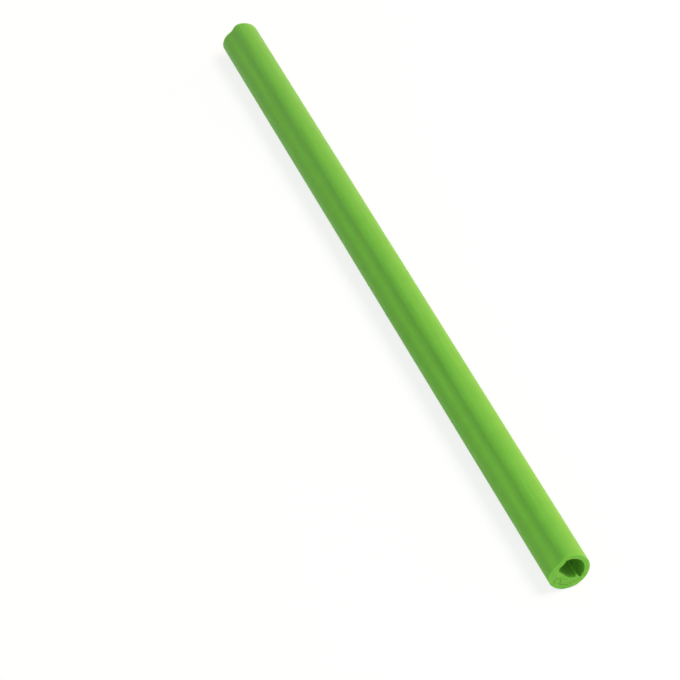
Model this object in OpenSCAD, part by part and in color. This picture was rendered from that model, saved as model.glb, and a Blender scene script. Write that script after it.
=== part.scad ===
// Peel-open drinking straw in one piece of soft silicone, lying on its side.
// It is a thin-walled tube with one thick side. A seam runs through the thick side
// over the whole length, so that the straw can be peeled open and rinsed.
//
// The section is drawn as it is seen from the near end: x to the right, y up,
// [0, 0] at the centre of the round outside, angles counted from +x towards +y.
// The straw lies along Y with its near end at -Y, and rests on the plane z = 0.

/* [Straw] */
// Length between the two cut ends
straw_length = 245; // [120:5:300]
// Outside diameter
outer_d = 11.5; // [11:0.5:14]
// Plain wall, from the hinge round the right side and under the seam
wall = 1.45; // [1.1:0.05:1.8]
// Width of the flat that the soft wall forms where the straw lies
rest_flat = 1.8; // [0.6:0.1:2.2]

/* [Groove and hinge] */
// Direction of the groove along the outside
groove_angle = 132; // [126:1:137]
// Depth of the groove below the round outside
groove_depth = 1.15; // [0.7:0.05:1.4]
// Hollow radius of the groove
groove_r = 3.9; // [2.8:0.1:5]
// Radius of the shoulder on the groove's upper side
upper_shoulder_r = 2.3; // [1.8:0.1:3.4]
// Radius of the shoulder on the groove's lower side
lower_shoulder_r = 4.35; // [3.25:0.1:4.55]
// Wall left under the groove, on which the straw hinges open
hinge_wall = 1.2; // [0.9:0.05:1.5]
// Direction of the hinge's bulge into the bore
hinge_angle = 128; // [124:1:132]
// Radius of the hinge's bulge
hinge_r = 4; // [3:0.1:5]

/* [Thick side] */
// Direction of the thick side
thick_angle = 222.5; // [216:0.5:228]
// Thickness in the middle of the thick side
thick_side = 4.3; // [3.7:0.05:4.5]
// Corner radius of the bore beside the hinge
lobe_r = 0.95; // [0.7:0.05:1.1]
// Distance of that corner from the middle of the thick side
lobe_at = 2.3; // [2:0.1:2.5]
// Direction in which the bore's side leaves that corner
lobe_lean = 77; // [70:1:84]
// Radius of the bore's floor
floor_r = 2.3; // [1.9:0.1:2.6]
// Distance of the floor's centre from the middle of the thick side
floor_at = 0.95; // [0.7:0.05:1.2]

/* [Lip] */
// Direction of the notch where the seam opens into the bore
notch_angle = 317.5; // [310:0.5:322]
// Distance from the plain wall to the centre of the lip's edge
notch_depth = 1.35; // [1.1:0.05:1.5]
// Turn from the notch to the lip's edge
lip_turn = 2.5; // [1:0.5:6]
// Edge radius of the lip
lip_r = 0.25; // [0.15:0.05:0.35]

/* [Seam] */
// Open width of the seam
seam_gap = 0.1; // [0.06:0.01:0.2]
// Direction of the bead that holds the seam shut
bead_angle = 215.5; // [212:0.5:220]
// Radius of the bead
bead_r = 0.9; // [0.7:0.05:1]
// Distance of the bead's centre inwards from the seam's arc
bead_in = 0.44; // [0.3:0.02:0.6]
// Width of the neck that carries the bead
neck_w = 1.2; // [1:0.05:1.3]

/* [Hidden] */
$fn = 96;
outer_r = outer_d / 2;
bore_r = outer_r - wall;
far = 2 * outer_d; // clear of the section on every side
axis_z = sqrt(pow(outer_r, 2) - pow(rest_flat / 2, 2));

// Groove, its two shoulders and the hinge under it, each a circle about its own centre
groove_at = outer_r - groove_depth + groove_r;
groove_c = polar(groove_at, groove_angle);
upper_end = groove_angle - shoulder_turn(upper_shoulder_r);
lower_end = groove_angle + shoulder_turn(lower_shoulder_r);
hinge_c = polar(outer_r - groove_depth - hinge_wall + hinge_r, hinge_angle);

// Inner face of the thick side, first drawn with the thick side pointing down
face_y = thick_side - outer_r;
lobe_c = thick_frame([-lobe_at, face_y + lobe_r]);
floor_c = thick_frame([floor_at, face_y + floor_r]);
lobe_top = lobe_c + polar(lobe_r, lobe_lean + 90);

// Lip: its face runs from the edge radius straight to the notch
notch = polar(bore_r, notch_angle);
lip_c = polar(bore_r - notch_depth, notch_angle - lip_turn);
lip_face = heading(lip_c, notch) + acos(lip_r / norm(notch - lip_c));

// Seam: an arc in line with the bore's wall, then round the bead, then straight out
bead_at = bore_r - bead_in;
bead_c = polar(bead_at, bead_angle);
seam_end = bead_angle + turn_between(bore_r, bead_at, bead_r);
neck_from = heading(bead_c, polar(bore_r, seam_end));
neck_to = neck_from - 2 * asin(neck_w / 2 / bead_r);
exit_c = bead_c + polar(bead_r + seam_gap / 2, neck_to);
notch_overlap = 3; // the seam's arc runs this far on into the open notch, in degrees

function polar(r, a) = [r * cos(a), r * sin(a)];
function heading(p, q) = atan2(q.y - p.y, q.x - p.x);
// Angle at the centre between points at distances p and q that lie s apart
function turn_between(p, q, s) = acos((p * p + q * q - s * s) / (2 * p * q));
// Turn from the groove to the place where a shoulder of radius r runs into the round outside
function shoulder_turn(r) = turn_between(groove_at, outer_r - r, groove_r + r);
// Point p of the drawing with the thick side down, turned to its real direction
function thick_frame(p) = let (a = thick_angle + 90)
    [p.x * cos(a) - p.y * sin(a), p.x * sin(a) + p.y * cos(a)];

// Wedge with its point at the centre, from direction a1 on to a2, less than 180 apart
module sector(a1, a2) {
    polygon([[0, 0], polar(far, a1), polar(far, (a1 + a2) / 2), polar(far, a2)]);
}

module ring(r, width) {
    difference() {
        circle(r = r + width);
        circle(r = r);
    }
}

// Round outside with the hollow groove between its two shoulders
module outside() {
    upper_c = polar(outer_r - upper_shoulder_r, upper_end);
    lower_c = polar(outer_r - lower_shoulder_r, lower_end);
    difference() {
        circle(r = outer_r);
        sector(upper_end, lower_end);
        translate([-far, -axis_z - far]) square([2 * far, far]);
    }
    translate(upper_c) circle(r = upper_shoulder_r);
    translate(lower_c) circle(r = lower_shoulder_r);
    difference() {
        polygon([[0, 0], upper_c, groove_c, lower_c]);
        translate(groove_c) circle(r = groove_r);
    }
}

// Everything above and to the right of the thick side
module above_thick_side() {
    translate(lobe_c) circle(r = lobe_r);
    translate(floor_c) circle(r = floor_r);
    polygon([thick_frame([-lobe_at, face_y]), thick_frame([floor_at, face_y]), floor_c, lobe_c]);
    polygon([lobe_c, lobe_top, lobe_top + polar(far, lobe_lean), polar(far, 45),
             polar(far, notch_angle), notch, lip_c + polar(lip_r, lip_face), floor_c]);
}

// Rounded edge of the inner flap, which closes against the plain wall
module lip() {
    translate(lip_c) circle(r = lip_r);
    polygon([lip_c + polar(lip_r, lip_face), notch, polar(bore_r, notch_angle - 30), lip_c]);
}

// Open passage of the straw
module bore() {
    difference() {
        intersection() {
            circle(r = bore_r);
            above_thick_side();
        }
        translate(hinge_c) circle(r = hinge_r);
        lip();
    }
}

// Narrow gap between the two flaps: under the inner flap, round the bead, and out
module seam() {
    intersection() {
        ring(bore_r - seam_gap, seam_gap);
        sector(seam_end, notch_angle + notch_overlap);
    }
    translate(bead_c) difference() {
        ring(bead_r, seam_gap);
        sector(neck_to, neck_from);
    }
    translate(exit_c) rotate(heading([0, 0], exit_c))
        translate([-seam_gap / 2, -seam_gap / 2]) square([far, seam_gap]);
}

module section() {
    difference() {
        outside();
        bore();
        seam();
    }
}

module straw() {
    color("yellowgreen") translate([0, 0, axis_z]) rotate([90, 0, 0])
        linear_extrude(height = straw_length, center = true) section();
}

straw();
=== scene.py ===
"""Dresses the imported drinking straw: a silicone skin of the same form, a studio floor, lamps and a camera."""

from math import acos, asin, atan2, ceil, cos, degrees, radians, sin, sqrt

import bmesh
import bpy
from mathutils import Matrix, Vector


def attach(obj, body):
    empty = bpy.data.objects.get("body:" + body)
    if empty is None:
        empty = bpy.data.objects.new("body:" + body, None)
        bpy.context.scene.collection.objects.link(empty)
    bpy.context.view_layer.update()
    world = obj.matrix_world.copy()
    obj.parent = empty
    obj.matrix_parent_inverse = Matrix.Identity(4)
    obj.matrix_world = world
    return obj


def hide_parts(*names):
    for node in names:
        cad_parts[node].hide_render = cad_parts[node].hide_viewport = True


MM = 0.001

# Straw, in millimetres and degrees. The section is seen from the near end and counted from the centre of
# the round outside, x to the right and y up. The straw lies along Y, and its flat rests on the floor.
STRAW_LENGTH = 245.0
OUTER_R = 5.75
WALL = 1.45
BORE_R = OUTER_R - WALL
REST_FLAT = 1.8
AXIS_Z = sqrt(OUTER_R**2 - (REST_FLAT / 2) ** 2)

# Groove, its shoulders and the hinge under it
GROOVE_ANGLE = 132.0
GROOVE_DEPTH = 1.15
GROOVE_R = 3.9
UPPER_SHOULDER_R = 2.3
LOWER_SHOULDER_R = 4.35
HINGE_WALL = 1.2
HINGE_ANGLE = 128.0
HINGE_R = 4.0

# Thick side, with the bore's corner beside the hinge and its rounded floor
THICK_ANGLE = 222.5
THICK_SIDE = 4.3
CORNER_R = 0.95
CORNER_AT = 2.3
CORNER_LEAN = 77.0
FLOOR_R = 2.3
FLOOR_AT = 0.95

# Notch and lip where the seam opens into the bore
NOTCH_ANGLE = 317.5
NOTCH_DEPTH = 1.35
LIP_TURN = 2.5
LIP_R = 0.25

# Seam with the bead that holds it shut
SEAM_GAP = 0.1
BEAD_ANGLE = 215.5
BEAD_R = 0.9
BEAD_IN = 0.44
NECK_W = 1.2

# Cut ends: the blade leaves a small round
END_ROUND = 0.14
END_ROUND_STEPS = 3

# Drawing the profile: how far its arcs sag and the pen may miss, and the distance below which points are one
ARC_SAG = 0.0015
LARGEST_MISS = 0.01
SAME_POINT = 0.002
FEWEST_STEPS = 3

# Edges that turn by less than this, in degrees, are shaded smooth
SMOOTH_BELOW = 38.0

# Silicone: its green from deep to pale, its gloss, and how deep red, green and blue light scatter in it
SILICONE_DEEP = (0.156, 0.452, 0.044)
SILICONE_PALE = (0.174, 0.486, 0.053)
ROUGHNESS = (0.46, 0.58)
SILICONE_IOR = 1.41
SPECULAR = 0.25
SUBSURFACE = 0.6
SUBSURFACE_RADIUS = (1.0, 1.0, 0.3)
SUBSURFACE_SCALE = 0.0022

# Its patterns: noise of a scale and a detail, and relief of a strength and a height in metres. The die lines
# are noise drawn out along the straw, and mottle and die lines have an equal part in the colour.
DIE_LINE_STRETCH = 0.03
DIE_LINES = {"scale": 1400.0, "detail": 3.0}
DIE_LINE_RELIEF = {"strength": 0.6, "height": 0.00008}
MOTTLE = {"scale": 260.0, "detail": 4.0}
GRAIN = {"scale": 5200.0, "detail": 2.0}
GRAIN_RELIEF = {"strength": 0.6, "height": 0.00004}
TINT_MIX = 0.5
TINT_ENDS = (0.36, 0.64)

# Studio: a square of white paper, soft room light, and square lamps, sizes in metres and power in watts
FLOOR_SIZE = 2.4
FLOOR_GREY = (0.8, 0.8, 0.8)
FLOOR_LIT = (0.2, 0.2, 0.2)
FLOOR_GLOW = 0.82
ROOM_COLOUR = (0.97, 1.0, 0.98)
ROOM_LIGHT = 0.34
KEY_LAMP = {"place": (0.48, -0.15, 0.95), "size": 0.5, "watts": 7.8, "colour": (1.0, 1.0, 0.9)}
FRONT_LAMP = {"place": (0.0, -1.3, 0.12), "size": 0.2, "watts": 5.0, "colour": (1.0, 1.0, 0.97)}
RIGHT_LAMP = {"place": (1.2, 0.2, 0.26), "size": 0.5, "watts": 9.0, "colour": (1.0, 0.4, 0.15)}
LEFT_LAMP = {"place": (-1.2, 0.0, 0.2), "size": 0.5, "watts": 2.4, "colour": (0.9, 1.0, 1.0)}

# The photograph's view: lens and sensor in millimetres, place in metres, heading and tilt in degrees
CAMERA_SENSOR = 36.0
CAMERA_LENS = 174.71
CAMERA_AT = (-0.26452, -0.65132, 0.59135)
CAMERA_HEADING = 20.9915
CAMERA_TILT = 40.841
NEAREST_SEEN = 0.01


# ---------------------------------------------------------------- the section's geometry
def polar(r, a):
    return Vector((r * cos(radians(a)), r * sin(radians(a))))


def heading(p, q):
    return degrees(atan2(q.y - p.y, q.x - p.x))


def turn_between(p, q, s):
    """Angle at the centre between points at distances p and q that lie s apart."""
    return degrees(acos((p * p + q * q - s * s) / (2 * p * q)))


def thick_frame(x, y):
    """A point drawn with the thick side down, turned to its real direction."""
    a = radians(THICK_ANGLE + 90)
    return Vector((x * cos(a) - y * sin(a), x * sin(a) + y * cos(a)))


def circles_cross(c1, r1, c2, r2, side):
    """Where two circles cross, to the left (1) or right (-1) of the line from c1 to c2."""
    d = (c2 - c1).length
    along = (d * d + r1 * r1 - r2 * r2) / (2 * d)
    across = sqrt(r1 * r1 - along * along) * side
    u = (c2 - c1) / d
    return c1 + u * along + Vector((-u.y, u.x)) * across


def line_crosses_circle(p, u, c, r, way):
    """Where a line from p in direction u goes into (-1) or out of (1) a circle."""
    b = u.dot(p - c)
    return p + u * (-b + way * sqrt(b * b - (p - c).length_squared + r * r))


# ---------------------------------------------------------------- drawing the profile with spins
def put(p):
    """A point of the section in its place on the near end, in metres."""
    return Vector((p.x * MM, -STRAW_LENGTH / 2 * MM, AXIS_Z * MM + p.y * MM))


def start_profile(name, p):
    """A single vertex in edit mode: the pen, set down at a point."""
    bpy.ops.object.select_all(action="DESELECT")
    bpy.ops.mesh.primitive_plane_add(size=MM, location=(0, 0, 0))
    straw = bpy.context.object
    straw.name = straw.data.name = name
    bpy.ops.object.mode_set(mode="EDIT")
    bpy.ops.mesh.merge(type="CENTER")
    bpy.ops.transform.translate(value=put(p))
    return straw


def pen_point(straw):
    """Where the pen is, as a point of the section."""
    mesh = bmesh.from_edit_mesh(straw.data)
    (end,) = [v for v in mesh.verts if v.select]
    return Vector((end.co.x / MM, end.co.z / MM - AXIS_Z))


def line_to(straw, p):
    """Draws a straight line from the pen to a point."""
    step = p - pen_point(straw)
    bpy.ops.mesh.extrude_vertices_move(TRANSFORM_OT_translate={"value": (step.x * MM, 0, step.y * MM)})


def arc(straw, centre, end, turn):
    """Spins the pen about a centre until it points to end, turning left (1) or right (-1)."""
    start = pen_point(straw)
    r = (start - centre).length
    angle = (turn * (heading(centre, end) - heading(centre, start))) % 360
    finest = 2 * degrees(acos(1 - ARC_SAG / r))
    bpy.ops.mesh.spin(steps=max(FEWEST_STEPS, ceil(angle / finest)), angle=radians(angle), center=put(centre),
                      axis=(0, turn, 0))


def check_pen(straw, p, place):
    miss = (pen_point(straw) - p).length
    if miss > LARGEST_MISS:
        raise ValueError(f"the profile misses {place} by {miss:.3f} mm")


# ---------------------------------------------------------------- the profile, part by part
CENTRE = Vector((0, 0))
BEAD = polar(BORE_R - BEAD_IN, BEAD_ANGLE)
SEAM_END = BEAD_ANGLE + turn_between(BORE_R, BORE_R - BEAD_IN, BEAD_R)
NECK_RIGHT = heading(BEAD, polar(BORE_R, SEAM_END))
NECK_LEFT = NECK_RIGHT - 2 * degrees(asin(NECK_W / 2 / BEAD_R))
EXIT = BEAD + polar(BEAD_R + SEAM_GAP / 2, NECK_LEFT)
EXIT_OUT = EXIT.normalized()
EXIT_SIDE = Vector((-EXIT_OUT.y, EXIT_OUT.x)) * (SEAM_GAP / 2)
NOTCH = polar(BORE_R, NOTCH_ANGLE)
LIP = polar(BORE_R - NOTCH_DEPTH, NOTCH_ANGLE - LIP_TURN)


def exit_corner(side):
    """Where one side of the seam comes out through the round outside."""
    return polar(OUTER_R, heading(CENTRE, EXIT) + side * degrees(asin(SEAM_GAP / 2 / OUTER_R)))


def trace_outside(straw):
    """From the seam's exit along the flat, up the right side, through the groove and back to the exit."""
    foot = Vector((REST_FLAT / 2, -AXIS_Z))
    arc(straw, CENTRE, Vector((-foot.x, foot.y)), 1)
    line_to(straw, foot)
    at = OUTER_R - GROOVE_DEPTH + GROOVE_R
    groove = polar(at, GROOVE_ANGLE)
    upper_end = GROOVE_ANGLE - turn_between(at, OUTER_R - UPPER_SHOULDER_R, GROOVE_R + UPPER_SHOULDER_R)
    lower_end = GROOVE_ANGLE + turn_between(at, OUTER_R - LOWER_SHOULDER_R, GROOVE_R + LOWER_SHOULDER_R)
    upper = polar(OUTER_R - UPPER_SHOULDER_R, upper_end)
    lower = polar(OUTER_R - LOWER_SHOULDER_R, lower_end)
    arc(straw, CENTRE, upper, 1)
    arc(straw, upper, groove, 1)
    arc(straw, groove, lower, -1)
    arc(straw, lower, polar(OUTER_R, lower_end), 1)
    arc(straw, CENTRE, exit_corner(-1), 1)
    check_pen(straw, exit_corner(-1), "the seam's exit")


def trace_socket(straw):
    """In through the seam, round the socket that holds the bead, and under the thick side to the notch."""
    socket_r = BEAD_R + SEAM_GAP
    line_to(straw, line_crosses_circle(exit_corner(-1), -EXIT_OUT, BEAD, socket_r, -1))
    end = circles_cross(BEAD, socket_r, CENTRE, BORE_R - SEAM_GAP, -1)
    arc(straw, BEAD, end, -1)
    tip = LIP + polar(LIP_R, heading(LIP, NOTCH) + degrees(acos(LIP_R / (NOTCH - LIP).length)))
    arc(straw, CENTRE, line_crosses_circle(tip, (NOTCH - tip).normalized(), CENTRE, BORE_R - SEAM_GAP, 1), 1)
    line_to(straw, tip)


def trace_bore(straw):
    """Over the lip, along the floor, the thick side and the hinge, and round the plain wall into the seam."""
    floor = thick_frame(FLOOR_AT, THICK_SIDE - OUTER_R + FLOOR_R)
    corner = thick_frame(-CORNER_AT, THICK_SIDE - OUTER_R + CORNER_R)
    hinge = polar(OUTER_R - GROOVE_DEPTH - HINGE_WALL + HINGE_R, HINGE_ANGLE)
    arc(straw, LIP, circles_cross(LIP, LIP_R, floor, FLOOR_R, 1), 1)
    arc(straw, floor, floor + polar(FLOOR_R, THICK_ANGLE), -1)
    line_to(straw, corner + polar(CORNER_R, THICK_ANGLE))
    arc(straw, corner, corner + polar(CORNER_R, CORNER_LEAN + 90), -1)
    line_to(straw, line_crosses_circle(pen_point(straw), polar(1, CORNER_LEAN), hinge, HINGE_R, -1))
    arc(straw, hinge, circles_cross(hinge, HINGE_R, CENTRE, BORE_R, 1), 1)
    arc(straw, CENTRE, polar(BORE_R, SEAM_END), -1)
    check_pen(straw, polar(BORE_R, SEAM_END), "the seam's end")


def trace_bead(straw):
    """Round the bead from the right of its neck to the left, and out again."""
    arc(straw, BEAD, BEAD + polar(BEAD_R, NECK_LEFT), 1)
    line_to(straw, EXIT + EXIT_SIDE - EXIT_OUT * (SEAM_GAP / 2))
    line_to(straw, exit_corner(1))


# ---------------------------------------------------------------- the skin
def make_skin():
    """Draws the section as one closed profile, draws it out to the straw's length and rounds the cut ends."""
    straw = start_profile("silicone_straw", exit_corner(1))
    trace_outside(straw)
    trace_socket(straw)
    trace_bore(straw)
    trace_bead(straw)
    check_pen(straw, exit_corner(1), "its start")
    bpy.ops.mesh.select_all(action="SELECT")
    bpy.ops.mesh.remove_doubles(threshold=SAME_POINT * MM)
    bpy.ops.mesh.edge_face_add()
    bpy.ops.mesh.extrude_region_move(TRANSFORM_OT_translate={"value": (0, STRAW_LENGTH * MM, 0)})
    bpy.ops.mesh.select_all(action="SELECT")
    bpy.ops.mesh.normals_make_consistent(inside=False)
    round_cut_ends(straw)
    bpy.ops.object.mode_set(mode="OBJECT")
    bpy.ops.object.shade_smooth_by_angle(angle=radians(SMOOTH_BELOW))
    return straw


def round_cut_ends(straw):
    """Bevels all edges of the two cut ends, the seam's and bore's too, and splits the large end faces."""
    bpy.ops.mesh.select_mode(type="EDGE")
    bpy.ops.mesh.select_all(action="DESELECT")
    mesh = bmesh.from_edit_mesh(straw.data)
    end = (STRAW_LENGTH / 2 - SAME_POINT) * MM
    for edge in mesh.edges:
        near, far = edge.verts
        edge.select_set(abs(near.co.y) > end and abs(far.co.y) > end and near.co.y * far.co.y > 0)
    bmesh.update_edit_mesh(straw.data)
    bpy.ops.mesh.bevel(offset=END_ROUND * MM, segments=END_ROUND_STEPS, affect="EDGES", clamp_overlap=False)
    bpy.ops.mesh.select_mode(type="FACE")
    bpy.ops.mesh.select_all(action="DESELECT")
    mesh = bmesh.from_edit_mesh(straw.data)
    for face in mesh.faces:
        face.select_set(len(face.verts) > 4)
    bmesh.update_edit_mesh(straw.data)
    bpy.ops.mesh.quads_convert_to_tris(quad_method="BEAUTY", ngon_method="BEAUTY")


# ---------------------------------------------------------------- materials
def new_material(name):
    material = bpy.data.materials.new(name)
    material.use_nodes = True
    tree = material.node_tree
    tree.nodes.clear()
    return material, tree


def add_node(tree, kind, **values):
    node = tree.nodes.new(kind)
    for key, value in values.items():
        setattr(node, key, value)
    return node


def add_noise(tree, place, scale, detail):
    noise = add_node(tree, "ShaderNodeTexNoise")
    noise.inputs["Scale"].default_value = scale
    noise.inputs["Detail"].default_value = detail
    tree.links.new(place, noise.inputs["Vector"])
    return noise.outputs["Fac"]


def add_relief(tree, pattern, strength, height):
    bump = add_node(tree, "ShaderNodeBump")
    bump.inputs["Strength"].default_value = strength
    bump.inputs["Distance"].default_value = height
    tree.links.new(pattern, bump.inputs["Height"])
    return bump


def silicone():
    """Satin green silicone with faint lines from the die along its length, fine mottling and some depth."""
    material, tree = new_material("green_silicone")
    link = tree.links.new
    place = add_node(tree, "ShaderNodeTexCoord")
    along = add_node(tree, "ShaderNodeMapping")
    along.inputs["Scale"].default_value = (1.0, DIE_LINE_STRETCH, 1.0)
    link(place.outputs["Object"], along.inputs["Vector"])
    lines = add_noise(tree, along.outputs["Vector"], **DIE_LINES)
    mottle = add_noise(tree, place.outputs["Object"], **MOTTLE)
    grain = add_noise(tree, place.outputs["Object"], **GRAIN)

    shade = add_node(tree, "ShaderNodeMix")
    shade.inputs["Factor"].default_value = TINT_MIX
    link(mottle, shade.inputs["A"])
    link(lines, shade.inputs["B"])
    tint = add_node(tree, "ShaderNodeValToRGB")
    ends = zip(tint.color_ramp.elements, TINT_ENDS, (SILICONE_DEEP, SILICONE_PALE))
    for end, position, colour in ends:
        end.position = position
        end.color = (*colour, 1)
    link(shade.outputs["Result"], tint.inputs["Fac"])

    rough = add_node(tree, "ShaderNodeMapRange")
    rough.inputs["To Min"].default_value, rough.inputs["To Max"].default_value = ROUGHNESS
    link(mottle, rough.inputs["Value"])

    die = add_relief(tree, lines, **DIE_LINE_RELIEF)
    matt = add_relief(tree, grain, **GRAIN_RELIEF)
    link(die.outputs["Normal"], matt.inputs["Normal"])

    skin = add_node(tree, "ShaderNodeBsdfPrincipled")
    skin.inputs["IOR"].default_value = SILICONE_IOR
    skin.inputs["Specular IOR Level"].default_value = SPECULAR
    skin.inputs["Subsurface Weight"].default_value = SUBSURFACE
    skin.inputs["Subsurface Radius"].default_value = SUBSURFACE_RADIUS
    skin.inputs["Subsurface Scale"].default_value = SUBSURFACE_SCALE
    link(tint.outputs["Color"], skin.inputs["Base Color"])
    link(rough.outputs["Result"], skin.inputs["Roughness"])
    link(matt.outputs["Normal"], skin.inputs["Normal"])
    out = add_node(tree, "ShaderNodeOutputMaterial")
    link(skin.outputs["BSDF"], out.inputs["Surface"])
    return material


def seen_directly(tree):
    """1 for rays that show a background as it is: from the camera, off gloss and through clear things."""
    path = add_node(tree, "ShaderNodeLightPath")
    first = add_node(tree, "ShaderNodeMath", operation="MAXIMUM")
    both = add_node(tree, "ShaderNodeMath", operation="MAXIMUM")
    tree.links.new(path.outputs["Is Camera Ray"], first.inputs[0])
    tree.links.new(path.outputs["Is Glossy Ray"], first.inputs[1])
    tree.links.new(first.outputs[0], both.inputs[0])
    tree.links.new(path.outputs["Is Transmission Ray"], both.inputs[1])
    return both.outputs[0]


def floor_paper():
    """Pale matt paper. Seen directly it glows a little, so that it is white and keeps only a soft shadow."""
    material, tree = new_material("floor_paper")
    link = tree.links.new
    plain = add_node(tree, "ShaderNodeBsdfDiffuse")
    plain.inputs["Color"].default_value = (*FLOOR_GREY, 1)
    lit = add_node(tree, "ShaderNodeBsdfDiffuse")
    lit.inputs["Color"].default_value = (*FLOOR_LIT, 1)
    glow = add_node(tree, "ShaderNodeEmission")
    glow.inputs["Strength"].default_value = FLOOR_GLOW
    shown = add_node(tree, "ShaderNodeAddShader")
    link(lit.outputs[0], shown.inputs[0])
    link(glow.outputs[0], shown.inputs[1])
    pick = add_node(tree, "ShaderNodeMixShader")
    link(seen_directly(tree), pick.inputs["Fac"])
    link(plain.outputs[0], pick.inputs[1])
    link(shown.outputs[0], pick.inputs[2])
    out = add_node(tree, "ShaderNodeOutputMaterial")
    link(pick.outputs[0], out.inputs["Surface"])
    return material


# ---------------------------------------------------------------- studio
def make_floor():
    bpy.ops.object.select_all(action="DESELECT")
    bpy.ops.mesh.primitive_plane_add(size=FLOOR_SIZE, location=(0, 0, 0))
    floor = bpy.context.object
    floor.name = "studio_floor"
    floor.data.materials.append(floor_paper())


def make_world():
    world = bpy.data.worlds.new("studio")
    bpy.context.scene.world = world
    world.use_nodes = True
    tree = world.node_tree
    tree.nodes.clear()
    room = add_node(tree, "ShaderNodeBackground")
    room.inputs["Color"].default_value = (*ROOM_COLOUR, 1)
    room.inputs["Strength"].default_value = ROOM_LIGHT
    white = add_node(tree, "ShaderNodeBackground")
    pick = add_node(tree, "ShaderNodeMixShader")
    tree.links.new(seen_directly(tree), pick.inputs["Fac"])
    tree.links.new(room.outputs[0], pick.inputs[1])
    tree.links.new(white.outputs[0], pick.inputs[2])
    white.inputs["Color"].default_value = (1, 1, 1, 1)
    out = add_node(tree, "ShaderNodeOutputWorld")
    tree.links.new(pick.outputs[0], out.inputs["Surface"])


def add_softbox(name, place, size, watts, colour):
    """A square lamp that looks at the middle of the straw."""
    bpy.ops.object.light_add(type="AREA", location=place)
    lamp = bpy.context.object
    lamp.name = lamp.data.name = name
    lamp.data.shape = "SQUARE"
    lamp.data.size = size
    lamp.data.energy = watts
    lamp.data.color = colour
    lamp.rotation_euler = (-Vector(place)).to_track_quat("-Z", "Y").to_euler()


def add_camera():
    bpy.ops.object.camera_add(location=CAMERA_AT,
                              rotation=(radians(90 - CAMERA_TILT), 0, radians(-CAMERA_HEADING)))
    camera = bpy.context.object
    camera.name = "camera"
    camera.data.sensor_width = CAMERA_SENSOR
    camera.data.lens = CAMERA_LENS
    camera.data.clip_start = NEAREST_SEEN
    bpy.context.scene.camera = camera


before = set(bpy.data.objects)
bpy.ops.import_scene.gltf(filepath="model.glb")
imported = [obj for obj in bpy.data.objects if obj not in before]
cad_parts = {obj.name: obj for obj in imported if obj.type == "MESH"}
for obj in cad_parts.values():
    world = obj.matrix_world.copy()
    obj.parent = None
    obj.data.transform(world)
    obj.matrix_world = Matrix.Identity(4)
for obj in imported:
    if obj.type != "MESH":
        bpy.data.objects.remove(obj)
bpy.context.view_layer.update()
straw = make_skin()
straw.data.materials.append(silicone())
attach(straw, "root")
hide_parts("straw")
make_floor()
make_world()
add_softbox("key", **KEY_LAMP)
add_softbox("front", **FRONT_LAMP)
add_softbox("right", **RIGHT_LAMP)
add_softbox("left", **LEFT_LAMP)
add_camera()
bpy.context.scene.view_settings.view_transform = "Standard"
